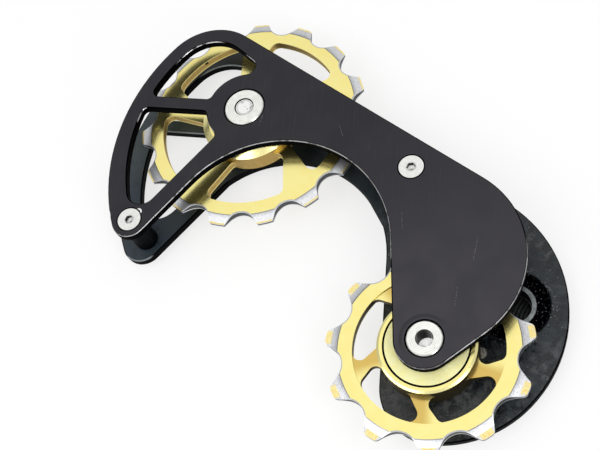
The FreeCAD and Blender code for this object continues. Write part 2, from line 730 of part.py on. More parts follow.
def all_nodes():
    nodes = {
        "inner_plate": inner_plate(),
        "outer_plate": outer_plate(),
        "tension_pulley": pulley_wheel(TENSION_PULLEY),
        "guide_pulley": pulley_wheel(GUIDE_PULLEY),
        "tension_sleeve_nut": sleeve_nut(TENSION, TENSION_HEAD_FLANGE, TENSION_BOLT_RECESS),
        "guide_sleeve_nut": sleeve_nut(GUIDE, GUIDE_HEAD_FLANGE, GUIDE_BOLT_RECESS),
        "tension_bolt": pulley_bolt(TENSION, TENSION_BOLT_RECESS),
        "guide_bolt": pulley_bolt(GUIDE, GUIDE_BOLT_RECESS),
        "tip_standoff": standoff(TIP_SCREW),
        "mid_standoff": standoff(MID_SCREW),
        "inner_plate_screws": plate_screws(INNER_FACE, True),
        "outer_plate_screws": plate_screws(OUTER_FACE, False),
        "pivot_bush": pivot_bush(),
        "stop_pin": stop_pin(),
    }
    nodes.update(bearing_nodes("tension", TENSION))
    nodes.update(bearing_nodes("guide", GUIDE))
    return nodes


os.makedirs("parts", exist_ok=True)
for node, shape in all_nodes().items():
    shape.exportStep("parts/" + node + ".step")
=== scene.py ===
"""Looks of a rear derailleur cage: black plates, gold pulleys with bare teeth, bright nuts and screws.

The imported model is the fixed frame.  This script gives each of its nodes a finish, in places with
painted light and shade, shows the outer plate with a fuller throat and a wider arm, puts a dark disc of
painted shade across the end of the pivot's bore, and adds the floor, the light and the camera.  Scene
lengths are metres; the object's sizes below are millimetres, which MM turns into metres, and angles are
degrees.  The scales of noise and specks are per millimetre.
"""
import json
import math
from dataclasses import dataclass

import bmesh
import bpy
from mathutils import Euler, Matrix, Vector

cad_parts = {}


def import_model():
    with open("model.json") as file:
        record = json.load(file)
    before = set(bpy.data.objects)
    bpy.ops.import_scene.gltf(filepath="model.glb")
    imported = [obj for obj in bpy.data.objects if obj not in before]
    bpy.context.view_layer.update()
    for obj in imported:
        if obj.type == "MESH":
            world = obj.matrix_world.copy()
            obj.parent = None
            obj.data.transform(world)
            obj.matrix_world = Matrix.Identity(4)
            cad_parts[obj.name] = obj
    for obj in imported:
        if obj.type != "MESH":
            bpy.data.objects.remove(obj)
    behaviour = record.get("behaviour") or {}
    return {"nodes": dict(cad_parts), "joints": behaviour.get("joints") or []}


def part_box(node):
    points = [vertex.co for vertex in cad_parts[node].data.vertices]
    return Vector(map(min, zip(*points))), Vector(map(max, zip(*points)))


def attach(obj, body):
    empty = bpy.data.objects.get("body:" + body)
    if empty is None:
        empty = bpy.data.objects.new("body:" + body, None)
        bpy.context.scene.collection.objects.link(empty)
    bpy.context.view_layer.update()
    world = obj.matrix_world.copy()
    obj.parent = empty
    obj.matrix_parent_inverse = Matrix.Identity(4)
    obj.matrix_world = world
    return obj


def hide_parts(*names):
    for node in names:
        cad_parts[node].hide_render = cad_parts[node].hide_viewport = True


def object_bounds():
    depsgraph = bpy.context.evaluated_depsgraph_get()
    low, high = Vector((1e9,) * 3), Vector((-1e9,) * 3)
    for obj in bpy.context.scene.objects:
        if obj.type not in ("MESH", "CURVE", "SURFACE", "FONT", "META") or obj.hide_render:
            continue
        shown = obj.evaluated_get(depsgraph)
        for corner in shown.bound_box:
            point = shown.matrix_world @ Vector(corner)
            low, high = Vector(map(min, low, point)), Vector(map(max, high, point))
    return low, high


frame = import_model()
cad_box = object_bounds()

MM = 0.001


def node_middle(node):
    """The middle of a node's box, in millimetres."""
    low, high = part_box(node)
    return (low + high) / (2 * MM)


# Places and sizes from the frame
AXES = {joint["name"]: Vector(joint["pos_m"]) / MM for joint in frame["joints"]}
TENSION = AXES["tension_pulley_spin"]
GUIDE = AXES["guide_pulley_spin"]
PIVOT = Vector((0.0, 0.0, 0.0))
TIP_SCREW = node_middle("tip_standoff")
MID_SCREW = node_middle("mid_standoff")
MID_PLANE = TENSION.z
INNER_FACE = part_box("inner_plate")[1].z / MM
CAP_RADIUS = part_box("guide_inner_dust_cap")[1].x / MM - GUIDE.x
FLOOR_LEVEL = cad_box[0].z

UP = (0.0, 0.0, 1.0)


class Shader:
    """A material under construction: short calls add nodes and link what they are given."""

    SPOT_CORE = 0.6
    CELL_EDGE = 0.02
    WALL_LEVEL = (0.3, 0.6)
    CHAMFER_LEVEL = math.sqrt(0.5)

    def __init__(self, name):
        self.material = bpy.data.materials.new(name)
        self.material.use_nodes = True
        self.tree = self.material.node_tree
        self.tree.nodes.clear()
        self.surface = self.node("ShaderNodeBsdfPrincipled")
        output = self.node("ShaderNodeOutputMaterial")
        self.tree.links.new(self.surface.outputs["BSDF"], output.inputs["Surface"])
        coordinates = self.node("ShaderNodeTexCoord").outputs["Object"]
        self.place = self.vector("MULTIPLY", coordinates, (1 / MM, 1 / MM, 1 / MM))
        self.plan = self.vector("MULTIPLY", self.place, (1, 1, 0))
        parts = self.node("ShaderNodeSeparateXYZ")
        self.feed(parts.inputs[0], self.place)
        self.x, self.y, self.z = parts.outputs
        self.normal = self.node("ShaderNodeNewGeometry").outputs["Normal"]
        self.level = self.math("ABSOLUTE", self.facing(UP))

    def node(self, kind, **settings):
        made = self.tree.nodes.new(kind)
        for name, value in settings.items():
            setattr(made, name, value)
        return made

    def feed(self, socket, value):
        """Links a socket to another one, or sets its value."""
        if isinstance(value, bpy.types.NodeSocket):
            self.tree.links.new(value, socket)
        else:
            socket.default_value = value

    def set(self, **values):
        """Feeds sockets of the surface shader, named with underscores for spaces."""
        for name, value in values.items():
            self.feed(self.surface.inputs[name.replace("_", " ")], value)

    def math(self, operation, first, second=0.0):
        made = self.node("ShaderNodeMath", operation=operation)
        self.feed(made.inputs[0], first)
        self.feed(made.inputs[1], second)
        return made.outputs[0]

    def minus(self, first, second):
        return self.math("SUBTRACT", first, second)

    def times(self, first, second):
        return self.math("MULTIPLY", first, second)

    def fold(self, operation, values):
        """Takes several values together, one after the other."""
        result = values[0]
        for value in values[1:]:
            result = self.math(operation, result, value)
        return result

    def both(self, *masks):
        """The product of several masks."""
        return self.fold("MULTIPLY", masks)

    def either(self, *masks):
        """The largest of several masks."""
        return self.fold("MAXIMUM", masks)

    def total(self, *terms):
        """The sum of several values, each times its weight."""
        return self.fold("ADD", [self.times(value, weight) for value, weight in terms])

    def invert(self, mask):
        return self.minus(1.0, mask)

    def vector(self, operation, first, second=(0, 0, 0)):
        made = self.node("ShaderNodeVectorMath", operation=operation)
        self.feed(made.inputs[0], first)
        self.feed(made.inputs[1], second)
        return made.outputs["Value" if operation in ("DISTANCE", "DOT_PRODUCT") else "Vector"]

    def facing(self, way):
        """How far the surface faces a direction: 1 straight towards it, and -1 away from it."""
        return self.vector("DOT_PRODUCT", self.normal, way)

    def rise(self, value, start, end, low=0.0, high=1.0):
        """Goes smoothly from low to high while the value goes from start to end."""
        made = self.node("ShaderNodeMapRange", interpolation_type="SMOOTHSTEP")
        for socket, number in zip(made.inputs, (value, start, end, low, high)):
            self.feed(socket, number)
        return made.outputs[0]

    def fall(self, value, start, end):
        """Goes smoothly from 1 to 0 while the value goes from start to end."""
        return self.rise(value, start, end, 1.0, 0.0)

    def band(self, value, middle, half, soft):
        """1 within half of the middle, and 0 past the soft edge."""
        away = self.math("ABSOLUTE", self.minus(value, middle))
        return self.fall(away, half, half + soft)

    def wall(self):
        """1 on the faces that stand upright."""
        return self.fall(self.level, *self.WALL_LEVEL)

    def chamfer(self):
        """1 on the faces that slope by about 45 degrees."""
        return self.band(self.level, self.CHAMFER_LEVEL, 0.1, 0.08)

    def waves(self, value, pitch):
        """Even waves along a value, between -1 and 1."""
        return self.math("SINE", self.times(value, 2 * math.pi / pitch))

    def noise(self, scale, detail=3.0, roughness=0.5, stretch=None, turn=0.0, shift=0.0):
        """Cloudy noise; a stretch draws it out along a direction in the plan."""
        where = self.place
        if stretch:
            mapping = self.node("ShaderNodeMapping")
            mapping.inputs["Rotation"].default_value = (0, 0, -math.radians(turn))
            self.feed(mapping.inputs["Vector"], where)
            where = self.vector("MULTIPLY", mapping.outputs[0], (1 / stretch, 1, 1))
        if shift:
            where = self.vector("ADD", where, (shift, shift, shift))
        made = self.node("ShaderNodeTexNoise")
        self.feed(made.inputs["Vector"], where)
        made.inputs["Scale"].default_value = scale
        made.inputs["Detail"].default_value = detail
        made.inputs["Roughness"].default_value = roughness
        return made.outputs[0]

    def specks(self, scale, size, share):
        """Small spots in a share of the cells of a loose grid."""
        made = self.node("ShaderNodeTexVoronoi")
        self.feed(made.inputs["Vector"], self.place)
        made.inputs["Scale"].default_value = scale
        chosen = self.node("ShaderNodeSeparateColor")
        self.feed(chosen.inputs[0], made.outputs["Color"])
        spot = self.fall(made.outputs["Distance"], size * self.SPOT_CORE, size)
        return self.both(spot, self.fall(chosen.outputs[0], share, share + self.CELL_EDGE))

    def mix(self, share, first, second):
        """A colour between two colours."""
        made = self.node("ShaderNodeMix", data_type="RGBA")
        self.feed(made.inputs[0], share)
        for socket, colour in ((made.inputs[6], first), (made.inputs[7], second)):
            self.feed(socket, colour if isinstance(colour, bpy.types.NodeSocket) else (*colour, 1.0))
        return made.outputs[2]

    def lay(self, colour, paint, *masks):
        """A colour painted over with another where every mask lets it."""
        return self.mix(self.both(*masks), colour, paint)

    def blend(self, share, first, second):
        """A number between two numbers."""
        made = self.node("ShaderNodeMix", data_type="FLOAT")
        for socket, value in zip((made.inputs[0], made.inputs[2], made.inputs[3]), (share, first, second)):
            self.feed(socket, value)
        return made.outputs[0]

    def radius(self, centre):
        """Distance in the plan from an upright axis."""
        return self.vector("DISTANCE", self.plan, (centre.x, centre.y, 0))

    def angle(self, centre):
        """Direction in the plan from an upright axis, in degrees."""
        along = self.minus(self.y, centre.y)
        return self.math("DEGREES", self.math("ARCTAN2", along, self.minus(self.x, centre.x)))

    def spot(self, centre, size):
        """1 near a point of the plan, and 0 from its size onwards."""
        return self.fall(self.radius(centre), size * self.SPOT_CORE, size)

    def outward(self, centre):
        """The direction away from an upright axis, for the grain of a turned face."""
        made = self.node("ShaderNodeVectorTransform", convert_from="OBJECT", convert_to="WORLD")
        self.feed(made.inputs[0], self.vector("SUBTRACT", self.plan, (centre.x, centre.y, 0)))
        return made.outputs[0]

    def scratch(self, start, end, width):
        """A straight hairline in the plan, broken up along its length."""
        way = (end - start).normalized()
        side = Vector((-way.y, way.x))
        run = self.total((self.x, way.x), (self.y, way.y))
        off = self.total((self.x, side.x), (self.y, side.y))
        length = (end - start).length
        line = self.band(off, start.dot(side), width / 2, width / 2)
        piece = self.band(run, (start + end).dot(way) / 2, length * 0.35, length * 0.15)
        return self.both(line, piece, self.rise(self.noise(2.0, shift=start.x), 0.4, 0.6))

    def bump(self, height, depth, strength=1.0):
        """Feeds the surface's normal from a height, whose unit is a depth in millimetres."""
        made = self.node("ShaderNodeBump")
        made.inputs["Strength"].default_value = strength
        made.inputs["Distance"].default_value = depth * MM
        self.feed(made.inputs["Height"], height)
        self.set(Normal=made.outputs[0])


# The inner plate's colours
PLATE_BLACK = (0.0092, 0.0084, 0.0138)
PLATE_LIGHTER_TONE = (0.027, 0.0248, 0.0325)
PLATE_SHEEN = (0.040, 0.037, 0.0455)
PLATE_CLOUD = (0.017, 0.016, 0.0195)
PLATE_BRUSHED = (0.034, 0.031, 0.038)
PLATE_GRAIN = (0.036, 0.033, 0.040)
SCRATCH_GREY = (0.30, 0.29, 0.30)
GLINT_GREY = (0.16, 0.16, 0.17)
BARE_AND_LIT_EDGE = (0.62, 0.62, 0.63)
CHIP_BRIGHT = (0.95, 0.95, 0.95)
# A near-black for painted shade, and for grime, grease, pits and a chip
SHADE_AND_GRIME_BLACK = (0.002, 0.002, 0.003)

# The inner plate's marks and painted light, in the plan
BRUSHED_TURN = -39.0
# The way that the chamfers with painted highlight face
LIT_EDGE_WAY = (0.77, -0.64, 0.0)
WIDE_END_WAY = (0.94, 0.34, 0.0)
LIGHTER_TONE_RUN = (-60.0, 0.0)
SHEEN_REACH = (8.0, 40.0)
GLINT_REACH = 18.0
DARK_ARC_RADIUS = 5.3
DARK_ARC_HALF = 0.25
DARK_ARC_SOFT = 0.3
DARK_ARC_SIDE = (-3.0, 1.0)
CHIP = Vector((-72.1, -59.12))
CHIP_RADIUS = 0.95
GAP_HOLE = Vector((-72.1, -59.4))
GAP_HOLE_RADIUS = 0.78
CHIP_SOFT = 0.1
CHIP_CLEAR = (3.28, 3.40)

# Painted shade in the gaps round heads on the inner plate: the middle, the head's radius and the shade's
# width
GAP_SHADE_RINGS = ((TIP_SCREW, 3.0, 0.25), (MID_SCREW, 3.0, 0.25), (TENSION, 5.35, 0.12), (GUIDE, 4.2, 0.20))
GAP_SHADE_FADE = 1.6

# Scratches on the inner plate: the two ends and the width
SCRATCHES = (
    (Vector((-74.8, -19.5)), Vector((-72.4, -22.3)), 0.10),
    (Vector((-30.0, -8.0)), Vector((-25.5, -11.0)), 0.07),
    (Vector((-14.0, 2.0)), Vector((-9.5, -3.0)), 0.07),
    (Vector((-22.0, -22.0)), Vector((-19.5, -25.5)), 0.08),
    (Vector((-7.0, -9.0)), Vector((-3.5, -12.5)), 0.08),
    (Vector((-60.0, -6.0)), Vector((-55.5, -7.5)), 0.07),
)

# The inner plate's edges, where they are worn and where they are painted as lit, in the plan
THROAT = Vector((-42.4, -38.2))
THROAT_RADIUS = 29.1
RIM = Vector((-59.1, -17.8))
RIM_INSIDE = 46.65
CORNER = Vector((-94.9, -24.05))
CORNER_INSIDE = 10.3
THROAT_HALF = 0.5
WINDOW_HALF = 0.6
EDGE_SOFT = 0.2
BAR_CLEAR = (3.2, 4.4)
WIDE_END = (-22.0, -12.0)
ARCH_WEAR = Vector((-104.5, -22.0))
ARCH_WEAR_SIZE = 8.0
CORNER_WEAR = Vector((-96.9, -44.3))
TIP_WEAR = Vector((-67.9, -64.3))
WEAR_SIZE = 3.0
TIP_NICK = Vector((-76.6, -65.6))
TIP_NICK_SIZE = 1.0
# Depths below the inner face between which the bare and lit band on a chamfer begins
BRIGHT_EDGE_START = (0.15, 0.08)


def gap_shade_rings(s):
    """Dark rings of painted shade on the inner plate, in the gaps round screws and nuts."""
    rings = []
    for centre, size, width in GAP_SHADE_RINGS:
        rings.append(s.fall(s.radius(centre), size + width, size + width * GAP_SHADE_FADE))
    return s.either(*rings)


def tip_chip(s):
    """A bright crescent of bare metal beside the tip's screw, and painted shade in the gap inside it."""
    face = s.rise(s.level, 0.9, 0.95)
    disc = s.fall(s.radius(CHIP), CHIP_RADIUS - CHIP_SOFT, CHIP_RADIUS)
    gap_hole_shade = s.fall(s.radius(GAP_HOLE), GAP_HOLE_RADIUS - CHIP_SOFT, GAP_HOLE_RADIUS)
    clear = s.rise(s.radius(TIP_SCREW), *CHIP_CLEAR)
    return s.both(face, disc, clear, s.invert(gap_hole_shade)), s.both(face, gap_hole_shade)


def worn_and_lit_edges(s, chamfer):
    """Where the inner plate's chamfers are bare metal: partly real wear and knocks, and partly painted
    highlight on the edges that face the light.
    """
    # The bar between the windows lies on the diagonal of the plan through the tension axis
    from_bar = s.math("ABSOLUTE", s.minus(s.minus(s.x, s.y), TENSION.x - TENSION.y))
    patchy = s.rise(s.noise(0.45, detail=5.0, roughness=0.65), 0.38, 0.55)
    throat = s.band(s.radius(THROAT), THROAT_RADIUS, THROAT_HALF, EDGE_SOFT)
    rim = s.band(s.radius(RIM), RIM_INSIDE, WINDOW_HALF, EDGE_SOFT)
    corner = s.band(s.radius(CORNER), CORNER_INSIDE, WINDOW_HALF, EDGE_SOFT)
    window = s.either(rim, corner)
    # Chamfers on the open sides and at the wide end that face the light get painted highlight
    lit_open_side = s.both(s.rise(s.facing(LIT_EDGE_WAY), 0.2, 0.4), s.invert(window))
    lit_open_side = s.both(lit_open_side, s.rise(from_bar, *BAR_CLEAR))
    wide_end = s.both(s.rise(s.facing(WIDE_END_WAY), 0.50, 0.62), s.rise(s.x, *WIDE_END))
    worn_spots = s.either(s.spot(ARCH_WEAR, ARCH_WEAR_SIZE), s.spot(CORNER_WEAR, WEAR_SIZE))
    rubbed = s.both(window, worn_spots, patchy)
    long_edges = s.both(s.either(throat, lit_open_side, wide_end), s.blend(patchy, 0.3, 0.75))
    knocks = s.either(s.both(s.spot(TIP_WEAR, WEAR_SIZE), patchy), s.spot(TIP_NICK, TIP_NICK_SIZE))
    lower_part = s.fall(s.z, *[INNER_FACE - depth for depth in BRIGHT_EDGE_START])
    return s.both(chamfer, lower_part, s.either(long_edges, rubbed, knocks))


def under_glint(s):
    """Light that the chamfer under the plate catches near the tip."""
    upward = s.facing(UP)
    under = s.both(s.fall(upward, -0.55, -0.35), s.rise(upward, -0.95, -0.8))
    return s.both(under, s.rise(s.facing(LIT_EDGE_WAY), 0.25, 0.45), s.spot(TIP_SCREW, GLINT_REACH))


def dark_arc_by_guide_nut(s):
    """A dark arc round the guide nut, on its side towards lower x."""
    ring = s.band(s.radius(GUIDE), DARK_ARC_RADIUS, DARK_ARC_HALF, DARK_ARC_SOFT)
    return s.both(ring, s.fall(s.x, *[GUIDE.x + side for side in DARK_ARC_SIDE]))


def inner_plate_finish():
    """Satin black anodising, faintly brushed and lighter towards the pivot's end, with a painted sheen
    beside the guide pulley, painted shade in the gaps round heads, and chamfers that are bare metal:
    partly worn, partly painted highlight on the side that faces the light.
    """
    s = Shader("inner_plate_black")
    brushed = s.noise(3.0, detail=4.0, stretch=30.0, turn=BRUSHED_TURN)
    cloud = s.noise(0.12, detail=2.0)
    grain = s.noise(9.0, detail=2.0)
    chamfer = s.chamfer()
    worn_and_lit = worn_and_lit_edges(s, chamfer)
    chip, gap_hole_shade = tip_chip(s)
    bare = s.either(worn_and_lit, chip)
    gap_shade = s.both(s.either(gap_shade_rings(s), gap_hole_shade), s.invert(chip))
    dull = s.either(s.wall(), gap_shade, chamfer)
    scratches = s.either(*[s.scratch(*scratch) for scratch in SCRATCHES])
    # The plate's tone is lighter towards the pivot's end
    colour = s.mix(s.rise(s.x, *LIGHTER_TONE_RUN), PLATE_BLACK, PLATE_LIGHTER_TONE)
    colour = s.lay(colour, PLATE_SHEEN, s.fall(s.radius(GUIDE), *SHEEN_REACH), 0.8)
    colour = s.lay(colour, PLATE_CLOUD, s.rise(cloud, 0.35, 0.7), 0.5)
    colour = s.lay(colour, PLATE_BRUSHED, s.rise(brushed, 0.52, 0.75), 0.4)
    colour = s.lay(colour, PLATE_GRAIN, s.rise(grain, 0.54, 0.70), 0.35)
    colour = s.lay(colour, SHADE_AND_GRIME_BLACK, dark_arc_by_guide_nut(s), 0.5)
    colour = s.lay(colour, SCRATCH_GREY, scratches, 0.35)
    # Walls and chamfers are dull black, and the gaps round heads get painted shade
    colour = s.lay(colour, SHADE_AND_GRIME_BLACK, dull)
    colour = s.lay(colour, GLINT_GREY, under_glint(s))
    # Bare metal where the chamfers are worn, and painted highlight where they face the light
    colour = s.lay(colour, BARE_AND_LIT_EDGE, worn_and_lit)
    s.set(Base_Color=s.lay(colour, CHIP_BRIGHT, chip), Metallic=s.either(bare, dull))
    rough = s.blend(dull, s.blend(grain, 0.36, 0.48), 0.95)
    s.set(Roughness=s.blend(bare, rough, 0.32), Specular_IOR_Level=0.34)
    s.bump(s.total((brushed, 0.6), (grain, 0.4)), 0.02, 0.35)
    return s.material


# The outer plate's colours
SLATE_DARK = (0.0090, 0.0145, 0.0195)
SLATE_LIGHT = (0.021, 0.030, 0.036)
ARM_LIT = (0.034, 0.046, 0.049)
ARM_SHADED = (0.005, 0.009, 0.012)
TIP_SLATE = (0.022, 0.034, 0.047)
LIT_UNDER_GUIDE = (0.066, 0.071, 0.073)
SCUFF_GREY = (0.070, 0.072, 0.073)
GRIT_GREY = (0.085, 0.09, 0.094)
GRIME = (0.004, 0.006, 0.008)
CRUMB_AND_GLINT_GREY = (0.40, 0.42, 0.43)
LIT_EDGE_SLATE = (0.20, 0.22, 0.23)

# The outer plate's marks, in the plan
SMEAR_TURN = 40.0
GUIDE_SIDE = Vector((6.0, -32.0))
GUIDE_SIDE_SIZE = 17.0
PIVOT_REACH = (30.0, 46.0)
RECESS_EDGE = (8.3, 8.9)
SCUFF_START = (11.0, 15.0)
GLINT_RING = 7.6
GLINT_HALF = 1.6
ARM_START = (-92.0, -84.0)
ARM_LIT_RUN = (-40.0, -28.0)
ARM_SHADED_RUN = (-36.0, -28.0)
TIP_RUN = (-58.0, -52.0)
LIT_EDGE_RUN = (-54.0, -48.0)


def slate(s, cloud, blotch):
    """The outer plate's tone, with painted light and painted shade along the arm, and painted light below
    the guide pulley.
    """
    on_arm = s.fall(s.x, *ARM_START)
    uneven = s.rise(s.noise(0.3, detail=5.0, shift=23.0), 0.35, 0.62)
    colour = s.mix(s.rise(cloud, 0.32, 0.68), SLATE_DARK, SLATE_LIGHT)
    colour = s.lay(colour, ARM_LIT, on_arm, s.fall(s.y, *ARM_LIT_RUN), s.rise(blotch, 0.25, 0.6))
    colour = s.lay(colour, ARM_SHADED, on_arm, s.rise(s.y, *ARM_SHADED_RUN))
    colour = s.lay(colour, TIP_SLATE, s.fall(s.y, *TIP_RUN), s.rise(blotch, 0.25, 0.60))
    # Painted light below the guide pulley
    return s.lay(colour, LIT_UNDER_GUIDE, s.spot(GUIDE_SIDE, GUIDE_SIDE_SIZE), uneven, 0.8)


def pivot_dirt(s, colour, near_pivot, grime, blotch, grain):
    """Scuffs, smears, grit, grime and pits round the pivot, laid over the slate."""
    rubbed = s.rise(s.noise(0.5, detail=6.0, shift=41.0), 0.44, 0.62)
    smeared = s.noise(0.9, detail=5.0, roughness=0.65, stretch=5.0, turn=SMEAR_TURN, shift=11.0)
    pitted = s.rise(s.noise(0.25, shift=5.0), 0.46, 0.58)
    gritty = s.both(s.rise(grain, 0.55, 0.68), s.rise(blotch, 0.40, 0.55))
    colour = s.lay(colour, SCUFF_GREY, s.rise(s.radius(PIVOT), *SCUFF_START), near_pivot, rubbed, 0.85)
    colour = s.lay(colour, SCUFF_GREY, near_pivot, s.rise(smeared, 0.52, 0.66), 0.5)
    colour = s.lay(colour, GRIT_GREY, near_pivot, gritty, 0.6)
    colour = s.lay(colour, GRIME, grime, 0.85)
    return s.lay(colour, SHADE_AND_GRIME_BLACK, s.specks(1.6, 0.45, 0.45), pitted, near_pivot)


def outer_plate_finish():
    """Slate black anodising, greasy and scuffed, with wet grease in the recess round the pivot, painted
    light and shade along the arm and below the guide pulley, painted glints in the grease, and painted
    highlight on the arm's chamfers that face the light.
    """
    s = Shader("outer_plate_black")
    cloud = s.noise(0.16, detail=6.0, roughness=0.65)
    blotch = s.noise(0.55, detail=6.0, roughness=0.7, shift=17.0)
    grain = s.noise(5.0, detail=4.0, roughness=0.6)
    chamfer = s.chamfer()
    from_pivot = s.radius(PIVOT)
    near_pivot = s.fall(from_pivot, *PIVOT_REACH)
    recess = s.both(s.fall(from_pivot, *RECESS_EDGE), s.rise(s.level, 0.6, 0.9))
    grime = s.both(near_pivot, s.rise(blotch, 0.46, 0.56))
    glint_ring = s.band(from_pivot, GLINT_RING, GLINT_HALF, GLINT_HALF)
    glints = s.both(s.specks(2.6, 0.36, 0.35), glint_ring, s.rise(blotch, 0.42, 0.5))
    crumbs = s.both(s.specks(1.2, 0.22, 0.10), near_pivot, 0.4)
    # Chamfers along the arm that face the light get a painted highlight, lighter and partly metallic
    worn_and_lit = s.both(chamfer, s.rise(s.facing(LIT_EDGE_WAY), 0.45, 0.6), s.fall(s.x, *LIT_EDGE_RUN))
    dull = s.either(s.wall(), s.both(chamfer, s.invert(worn_and_lit)))
    colour = slate(s, cloud, blotch)
    colour = pivot_dirt(s, colour, near_pivot, grime, blotch, grain)
    colour = s.lay(colour, SHADE_AND_GRIME_BLACK, recess)
    # Crumbs of grit, and glints in the grease that are painted highlights
    colour = s.lay(colour, CRUMB_AND_GLINT_GREY, s.either(glints, crumbs), 0.6)
    colour = s.lay(colour, SHADE_AND_GRIME_BLACK, dull)
    s.set(Base_Color=s.lay(colour, LIT_EDGE_SLATE, worn_and_lit))
    s.set(Metallic=s.either(dull, recess, s.both(worn_and_lit, 0.4)))
    rough = s.blend(grime, s.blend(s.rise(cloud, 0.3, 0.7), 0.34, 0.52), 0.26)
    s.set(Roughness=s.blend(s.either(dull, recess), rough, 0.8), Specular_IOR_Level=0.42)
    s.bump(s.total((blotch, 0.7), (grain, 0.3)), 0.10, 0.7)
    return s.material


# The pulleys' colours
GOLD = (1.0, 0.90, 0.36)
SOFT_GOLD = (1.0, 0.87, 0.32)
SPOKE_SHADE_GOLD = (0.72, 0.51, 0.14)
PALE_GOLD = (1.0, 0.93, 0.48)
TIP_GOLD = (0.95, 0.70, 0.22)
BARE = (0.86, 0.87, 0.89)
BARE_SPECKLE = (0.46, 0.47, 0.50)
BARE_SHADE_BY_RIM = (0.40, 0.41, 0.44)
SEAM_GREY = (0.12, 0.12, 0.12)
GULLET_SHADE = (0.09, 0.09, 0.095)
GULLET_LIT_EDGE = (0.72, 0.73, 0.75)
WINDOW_GRIME = (0.05, 0.035, 0.015)
TENSION_WINDOW_SHADE = (0.55, 0.38, 0.12)
GUIDE_WINDOW_SHADE = (0.10, 0.08, 0.035)

# The pulleys' sizes
CAP_GAP = 0.4
RIM_HALF = 1.2
RIM_WIDTH = 2.6
TIP_HALF = 0.6
FACE_MARGIN = 0.75
SPOKES = 5
SPOKE_SHADED = (32.0, 44.0)
CUT = 0.05
BEVEL_REACH = 0.2
GULLET_BARE = (0.16, 0.34)
GULLET_REACH = 0.6
GULLET_LIT = (0.28, 0.42)
SEAM_OUT = 0.1
SEAM_HALF = 0.06
SEAM_SOFT = 0.08
RIM_SHADE_REACH = (0.5, 1.9)
RIM_UNEVEN = 1.2
TIP_LAP = 0.15
PATCH_SOFT = 0.35
WINDOW_LIT_HALF = 0.28
WINDOW_LIT_SOFT = 0.15
# A chip in one window of the tension pulley
WALL_CHIP = Vector((-104.05, -22.17, 8.0))
WALL_CHIP_SIZE = 0.6
WALL_CHIP_HALF = 0.3
WALL_CHIP_SOFT = 0.2


@dataclass
class Wheel:
    """The sizes of one pulley that its finish follows, in millimetres and degrees."""

    centre: Vector
    teeth: int
    phase: float
    spoke_phase: float
    root: float
    tooth: float
    tip_flat: float
    tip_patch: float
    gullet: float
    hub: float

    @property
    def face_end(self):
        """Where the rim's flat face ends and the teeth begin to taper."""
        return self.root + FACE_MARGIN

    @property
    def taper_end(self):
        """Where the taper meets the flat tips of the teeth."""
        return self.root + self.tooth - self.tip_flat

    @property
    def window(self):
        """Where the windows end, below the rim."""
        return self.root - RIM_WIDTH


TENSION_WHEEL = Wheel(
    centre=TENSION, teeth=15, phase=-1.2, spoke_phase=0.0, root=26.79, tooth=3.5,
    tip_flat=0.4, tip_patch=2.2, gullet=4.0, hub=12.6)
GUIDE_WHEEL = Wheel(
    centre=GUIDE, teeth=11, phase=-3.2, spoke_phase=34.5, root=19.89, tooth=3.95,
    tip_flat=1.4, tip_patch=1.35, gullet=4.5, hub=11.3)


class WheelShader(Shader):
    """A pulley's material under construction, with the places and noise that its parts share."""

    def __init__(self, name, wheel):
        super().__init__(name)
        self.wheel = wheel
        self.out = self.radius(wheel.centre)
        self.turn = self.angle(wheel.centre)
        self.height = self.math("ABSOLUTE", self.minus(self.z, MID_PLANE))
        self.upright = self.wall()
        self.speckle = self.noise(5.0, detail=3.0)
        self.cloud = self.noise(0.35, detail=3.0)

    def tooth_places(self):
        """Distances from the middle of the nearest gullet, and round the wheel from the nearest tooth."""
        step = 360 / self.wheel.teeth
        turned = self.minus(self.turn, self.wheel.phase)
        # The gap's middle is at 0 and the teeth are half a step away from it
        gap_angle = self.minus(self.math("FLOORED_MODULO", turned, step), step / 2)
        gap_turn = self.math("RADIANS", gap_angle)
        across = self.times(self.out, self.math("SINE", gap_turn))
        gullet_middle = self.wheel.root + self.wheel.gullet
        along = self.minus(self.times(self.out, self.math("COSINE", gap_turn)), gullet_middle)
        squares = self.math("ADD", self.times(across, across), self.times(along, along))
        tooth_angle = self.minus(step / 2, self.math("ABSOLUTE", gap_angle))
        return self.math("SQRT", squares), self.times(self.math("RADIANS", tooth_angle), self.out)

    def below_flank(self):
        """How far a point on a gullet's wall lies below the teeth's tapered flank."""
        wheel = self.wheel
        slope = (RIM_HALF - TIP_HALF) / (wheel.taper_end - wheel.face_end)
        flank = self.minus(RIM_HALF, self.times(self.minus(self.out, wheel.face_end), slope))
        flank = self.math("MAXIMUM", TIP_HALF, self.math("MINIMUM", RIM_HALF, flank))
        return self.minus(flank, self.height)


def gold_faces(s, spoke_shade):
    """Gold anodising, with the given spoke shade painted on one side of each spoke, and a painted
    highlight on the hub's bevel.
    """
    hub, window = s.wheel.hub, s.wheel.window
    spoke_step = 360 / SPOKES
    spoke_turn = s.minus(s.turn, s.wheel.spoke_phase - spoke_step / 2)
    spoke_turn = s.math("FLOORED_MODULO", spoke_turn, spoke_step)
    web = s.both(s.rise(s.out, hub, hub + CUT), s.fall(s.out, window - CUT, window))
    bevel = s.both(s.band(s.level, 0.85, 0.06, 0.04), s.fall(s.out, hub, hub + BEVEL_REACH))
    gold = s.mix(s.rise(s.cloud, 0.3, 0.7), GOLD, SOFT_GOLD)
    # Painted shade on one side of each spoke
    gold = s.lay(gold, spoke_shade, web, s.invert(s.upright), s.fall(spoke_turn, *SPOKE_SHADED))
    # Painted highlight on the hub's bevel
    return s.lay(gold, PALE_GOLD, bevel, 0.6)


